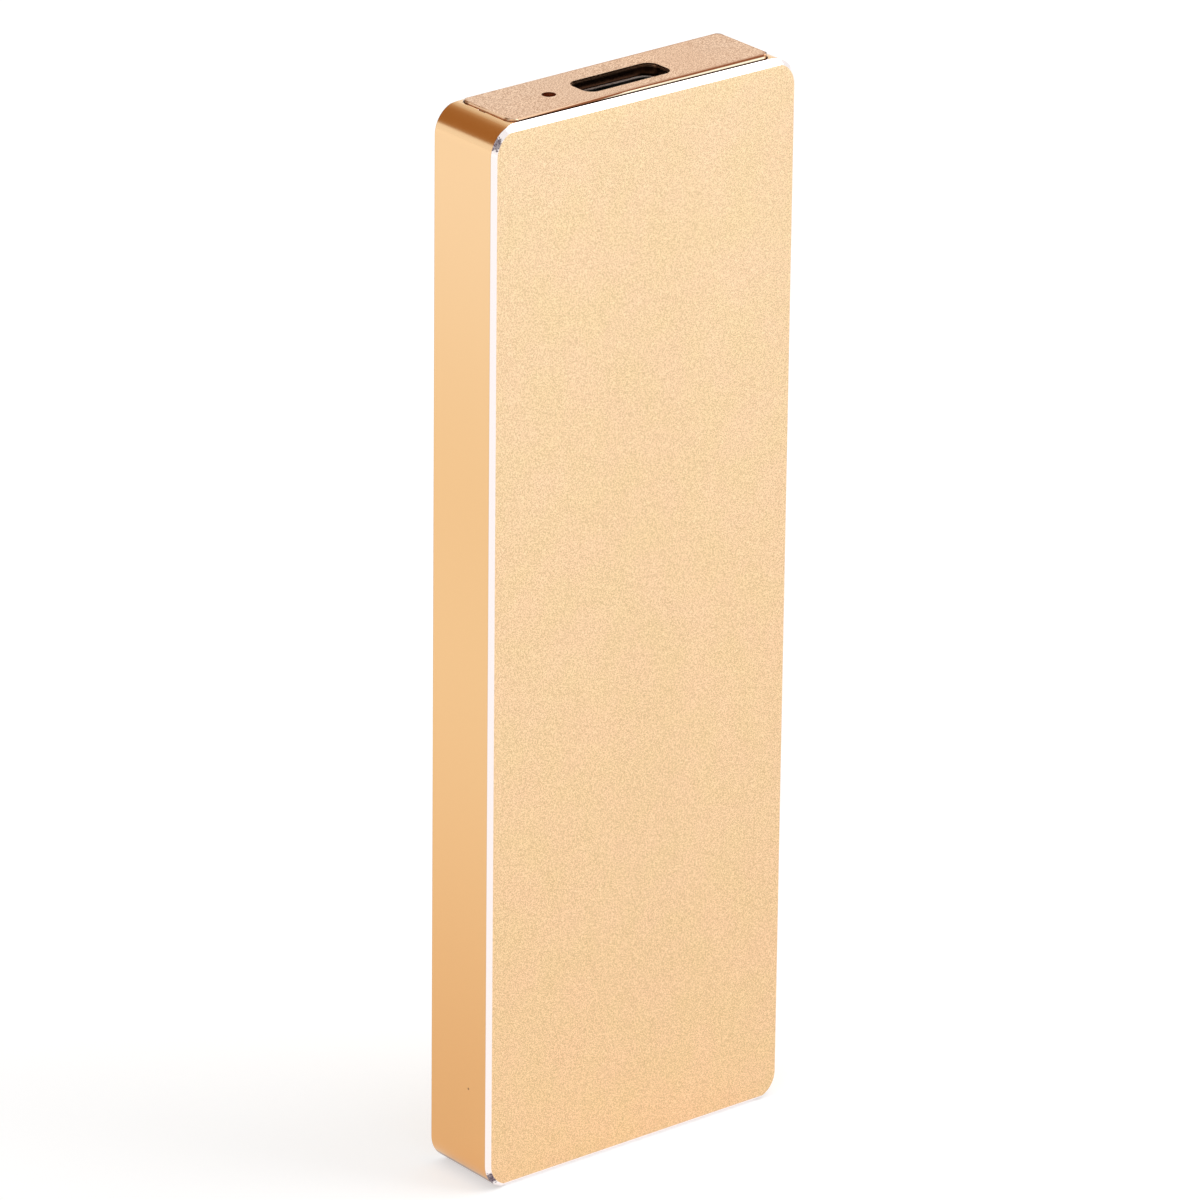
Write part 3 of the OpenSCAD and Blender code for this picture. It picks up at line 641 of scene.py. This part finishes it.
def capFinish(name, atPort):
    material, tree, shader, place = newMaterial(name, Metallic=1.0)
    grain = useGroup(tree, grainGroup, Vector=place, Grains=cap["grains"], Fleck=1.0)
    smudge = useGroup(tree, handlingGroup, Vector=place, Patches=cap["smudges"], Amount=0.8)["Mask"]
    colour = mixColour(tree, grain["Mask"], cap["deepColour"], cap["colour"])
    uneven = cap["unevenRough"]
    rough = remap(tree, smudge, 0.0, 1.0, cap["rough"] - uneven, cap["rough"] + uneven)
    relief = grain["Height"]
    if atPort:   # the foot cap has no slot, hole or painted edge shading
        across, deep, up = axes(tree, place)
        crown = maths(tree, "MULTIPLY_ADD", across, math.tan(math.radians(cap["slope"])),
                      (cap["rim"] + cap["proud"]) * mm)
        depth = maths(tree, "SUBTRACT", crown, up)   # below the sloping face
        edge, onLong, intoCorner = capOutline(tree, across, deep)
        bevelFade = (cap["bevel"] + inward for inward in cap["bevelFade"])
        atEdge = remap(tree, edge, *fromMm(*bevelFade), 1.0, 0.0)
        wall = capWallShadingColour(tree, across, up, depth, onLong, intoCorner)
        colour = mixColour(tree, atEdge, rolledEdgeShade(tree, colour, edge, onLong, across), wall)
        inside, hollowShade = capHollowShadeColour(tree, across, deep, depth)
        colour = mixColour(tree, inside, colour, hollowShade)
        blasted = maths(tree, "SUBTRACT", 1.0, maths(tree, "MAXIMUM", atEdge, inside))
        wallRough = remap(tree, maths(tree, "MAXIMUM", onLong, inside), 0.0, 1.0, *capWallShading["rough"])
        rough = maths(tree, "MULTIPLY_ADD", blasted, maths(tree, "SUBTRACT", rough, wallRough), wallRough)
        relief = product(tree, relief, blasted)
    fill(tree, shader, Base_Color=colour, Roughness=rough)
    bump(tree, shader, relief, **blast)
    return material


# Rubber, plastic and chip packages: one kind of finish with its own colour, grain and gloss

mouldedLook = {
    "grainShare": 0.6,      # of the mix of grain and patches
    "fleck": 0.9,
    "patches": 200.0,       # per metre
    "unevenRough": 0.08,
    "relief": 0.01,         # mm, for those that don't state their own
    "strength": 0.5,
}

moulded = {
    "gasketBlack": {"dark": (0.010, 0.010, 0.010), "light": (0.026, 0.025, 0.024), "grains": 5000.0,
                    "rough": 0.7, "nodes": ["port_gasket", "foot_gasket"]},
    "portPlastic": {"dark": (0.014, 0.010, 0.008), "light": (0.028, 0.021, 0.017), "grains": 9000.0,
                    "rough": 0.45, "nodes": ["usb_insulator"]},
    "chipBlack": {"dark": (0.012, 0.012, 0.013), "light": (0.034, 0.034, 0.036), "grains": 7000.0,
                  "rough": 0.6, "nodes": ["controller", "flash_chip_1", "flash_chip_2", "flash_chip_3",
                                          "flash_chip_4", "cache_chip", "boot_chip", "voltage_regulator",
                                          "surge_protector"]},
    "coilGrey": {"dark": (0.06, 0.06, 0.065), "light": (0.13, 0.13, 0.135), "grains": 4000.0,
                 "rough": 0.55, "relief": 0.02, "nodes": ["power_coil"]},
    "capacitorTan": {"dark": (0.30, 0.17, 0.08), "light": (0.44, 0.27, 0.14), "grains": 8000.0,
                     "rough": 0.4, "nodes": ["bulk_capacitors", "small_capacitors"]},
    "resistorBlack": {"dark": (0.02, 0.02, 0.022), "light": (0.06, 0.06, 0.065), "grains": 9000.0,
                      "rough": 0.35, "nodes": ["chip_resistors"]},
    "lampWhite": {"dark": (0.72, 0.70, 0.60), "light": (0.84, 0.82, 0.72), "grains": 6000.0,
                  "rough": 0.35, "nodes": ["status_lamp"]},
    "padGrey": {"dark": (0.30, 0.33, 0.36), "light": (0.40, 0.43, 0.46), "grains": 3500.0, "rough": 0.8,
                "relief": 0.02, "nodes": ["front_thermal_pad", "back_thermal_pad", "controller_pad"]},
    "filmAmber": {"dark": (0.50, 0.20, 0.02), "light": (0.62, 0.28, 0.04), "grains": 2500.0,
                  "rough": 0.3, "nodes": ["insulating_film"]},
}


def mouldedFinish(name, look):
    material, tree, shader, place = newMaterial(name)
    share, uneven = mouldedLook["grainShare"], mouldedLook["unevenRough"]
    grain = useGroup(tree, grainGroup, Vector=place, Grains=look["grains"], Fleck=mouldedLook["fleck"])
    smudge = useGroup(tree, handlingGroup, Vector=place, Patches=mouldedLook["patches"], Amount=0.7)["Mask"]
    blend = maths(tree, "MULTIPLY_ADD", grain["Mask"], share, product(tree, smudge, 1 - share))
    fill(tree, shader, Base_Color=mixColour(tree, blend, look["dark"], look["light"]),
         Roughness=remap(tree, blend, 0.0, 1.0, look["rough"] - uneven, look["rough"] + uneven))
    bump(tree, shader, grain["Height"], look.get("relief", mouldedLook["relief"]), mouldedLook["strength"])
    return material


# Rolled or plated metal: hair lines along one axis over a faint stain

metalLook = {
    "hairShare": 0.55,      # of the mix of hair lines and stain, for those that don't state their own
    "stains": 500.0,        # per metre
    "relief": 0.004,        # mm
    "strength": 0.4,
}

metals = {
    "contactGold": {"dark": (0.78, 0.50, 0.15), "light": (0.95, 0.68, 0.28), "lines": 9000.0,
                    "stretch": (1, 1, 0.05), "rough": (0.28, 0.14), "nodes": ["usb_contacts"]},
    "crystalCan": {"dark": (0.60, 0.58, 0.54), "light": (0.80, 0.78, 0.74), "lines": 6000.0,
                   "stretch": (0.05, 1, 1), "rough": (0.32, 0.18), "nodes": ["clock_crystal"]},
    "screwSteel": {"dark": (0.46, 0.45, 0.43), "light": (0.68, 0.67, 0.65), "lines": 8000.0,
                   "stretch": (1, 0.05, 1), "rough": (0.38, 0.24), "nodes": ["board_screws"]},
    # the port's shell and mid plate are painted dark, as painted shade inside the port
    "portSteel": {"dark": (0.11, 0.10, 0.095), "light": (0.19, 0.18, 0.17), "lines": 3500.0,
                  "stretch": (1, 1, 0.04), "rough": (0.36, 0.24), "hairShare": 0.5,
                  "nodes": ["usb_shell", "usb_mid_plate"],
                  # painted highlight on the shell's rim: mm up where it begins and is full, and what it adds
                  "rim": (97.82, 97.88), "rimHighlight": (0.74, 0.70, 0.66), "rimRough": 0.14},
}


def metalFinish(name, look):
    material, tree, shader, place = newMaterial(name, Metallic=1.0)
    hair = useGroup(tree, brushGroup, Vector=place, Stretch=look["stretch"], Lines=look["lines"])["Mask"]
    stain = useGroup(tree, handlingGroup, Vector=place, Patches=metalLook["stains"], Amount=0.8)["Mask"]
    share = look.get("hairShare", metalLook["hairShare"])
    blend = maths(tree, "MULTIPLY_ADD", hair, share, product(tree, stain, 1 - share))
    colour = mixColour(tree, blend, look["dark"], look["light"])
    rough = remap(tree, blend, 0.0, 1.0, *look["rough"])
    # painted highlight along the shell's rim
    if "rim" in look:
        rim = remap(tree, axes(tree, place)[2], *fromMm(*look["rim"]))
        colour = mixColour(tree, rim, colour, look["rimHighlight"])
        rough = maths(tree, "MULTIPLY_ADD", rim, look["rimRough"], rough)
    fill(tree, shader, Base_Color=colour, Roughness=rough)
    bump(tree, shader, hair, metalLook["relief"], metalLook["strength"])
    return material


# Green board: solder mask over copper tracks, with small plated holes

board = {
    "mask": (0.012, 0.085, 0.040),
    "overCopper": (0.022, 0.150, 0.062),
    "weave": (0.03, 0.19, 0.09),     # glass cloth that shines through
    "weaveShare": 0.12,
    "weaveBands": 900.0,             # this and the four below are per metre
    "trackPitch": 620.0,
    "pours": 140.0,
    "holePitch": 420.0,
    "plated": (0.62, 0.40, 0.16),
    "holeEdge": (0.06, 0.09),
    "pourEdge": (0.5, 0.53),
    "rough": (0.42, 0.34),           # beside and over the copper
    "coat": 0.35,
}


def boardFinish():
    material, tree, shader, place = newMaterial("boardGreen", Coat_Weight=board["coat"], Coat_Roughness=0.15)
    lay = fill(tree, addNode(tree, "ShaderNodeMapping"), Vector=place, Rotation=(math.radians(90), 0, 0))
    flat = lay.outputs[0]
    tracks = fill(tree, addNode(tree, "ShaderNodeTexBrick", offset=0.37, squash=1.7, squash_frequency=3),
                  Vector=flat, Scale=board["trackPitch"], Mortar_Size=0.12, Mortar_Smooth=0.3)
    holes = fill(tree, addNode(tree, "ShaderNodeTexVoronoi", voronoi_dimensions="2D"),
                 Vector=flat, Scale=board["holePitch"], Randomness=0.8)
    ring = remap(tree, holes.outputs["Distance"], *board["holeEdge"], 1.0, 0.0)
    pour = remap(tree, noise(tree, flat, board["pours"], 1.0), *board["pourEdge"])
    copper = maths(tree, "MAXIMUM", pour, tracks.outputs["Fac"])
    weave = addNode(tree, "ShaderNodeTexWave", wave_type="BANDS", bands_direction="DIAGONAL")
    fill(tree, weave, Vector=place, Scale=board["weaveBands"])
    woven = product(tree, weave.outputs["Fac"], board["weaveShare"])
    green = mixColour(tree, copper, board["mask"], board["overCopper"])
    green = mixColour(tree, woven, green, board["weave"])
    fill(tree, shader, Base_Color=mixColour(tree, ring, green, board["plated"]), Metallic=ring,
         Roughness=remap(tree, copper, 0.0, 1.0, *board["rough"]))
    bump(tree, shader, maths(tree, "SUBTRACT", copper, ring), 0.02, 0.5)
    return material


# Smoked light pipe over the status lamp

pipe = {
    "dark": (0.10, 0.038, 0.015),
    "light": (0.15, 0.056, 0.023),
    "rough": (0.2, 0.34),
    "clear": 0.35,
}


def pipeFinish():
    material, tree, shader, place = newMaterial("pipeSmoke", Transmission_Weight=pipe["clear"], IOR=1.49)
    smudge = useGroup(tree, handlingGroup, Vector=place, Patches=1500.0, Amount=0.8)["Mask"]
    fill(tree, shader, Base_Color=mixColour(tree, smudge, pipe["dark"], pipe["light"]),
         Roughness=remap(tree, smudge, 0.0, 1.0, *pipe["rough"]))
    return material


dress(sleeveFinish(), ["housing"])
dress(capFinish("tanCap", True), ["port_cap"])
dress(capFinish("footTan", False), ["foot_cap"])
dress(boardFinish(), ["main_board"])
dress(pipeFinish(), ["light_pipe"])
for name, look in moulded.items():
    dress(mouldedFinish(name, look), look["nodes"])
for name, look in metals.items():
    dress(metalFinish(name, look), look["nodes"])
print("finishes on all nodes")


# Close outer pieces: the solid's own form, welded, shaded smooth and with its edges just broken

skins = {
    "housing": {"slotName": "gold_sleeve", "edge": 0.03},   # mm
    "port_cap": {"slotName": "tan_cap", "edge": 0.04},
}

brokenEdge = {
    "sharp": 22.0,       # degrees between faces past which an edge isn't shaded round
    "broken": 30.0,      # and past which it is broken
    "segments": 2,
    "weld": 0.001,       # mm
}


def weldedCopy(nodeName, slotName, edge):
    # a copy of the CAD form whose loose triangles are joined, so that curves shade as curves
    material = nodes[nodeName].data.materials[0]
    mesh = nodes[nodeName].data.copy()
    mesh.name = nodeName + "Skin"
    piece = addObject(nodeName + "Skin", mesh)
    weld = piece.modifiers.new("weld", "WELD")
    weld.merge_threshold = brokenEdge["weld"] * mm
    with bpy.context.temp_override(object=piece, active_object=piece, selected_objects=[piece]):
        bpy.ops.object.modifier_apply(modifier=weld.name)
    mesh = piece.data
    mesh.shade_smooth()
    mesh.set_sharp_from_angle(angle=math.radians(brokenEdge["sharp"]))
    bevel = piece.modifiers.new("brokenEdge", "BEVEL")
    bevel.width = edge * mm
    bevel.segments = brokenEdge["segments"]
    bevel.limit_method = "ANGLE"
    bevel.angle_limit = math.radians(brokenEdge["broken"])
    bevel.harden_normals = True
    mesh.materials.clear()
    mesh.materials.append(material)
    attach(piece, "root")
    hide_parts(nodeName)


for nodeName, skin in skins.items():
    weldedCopy(nodeName, **skin)
print("outer skins made")


bpy.context.scene.view_settings.view_transform = "Standard"
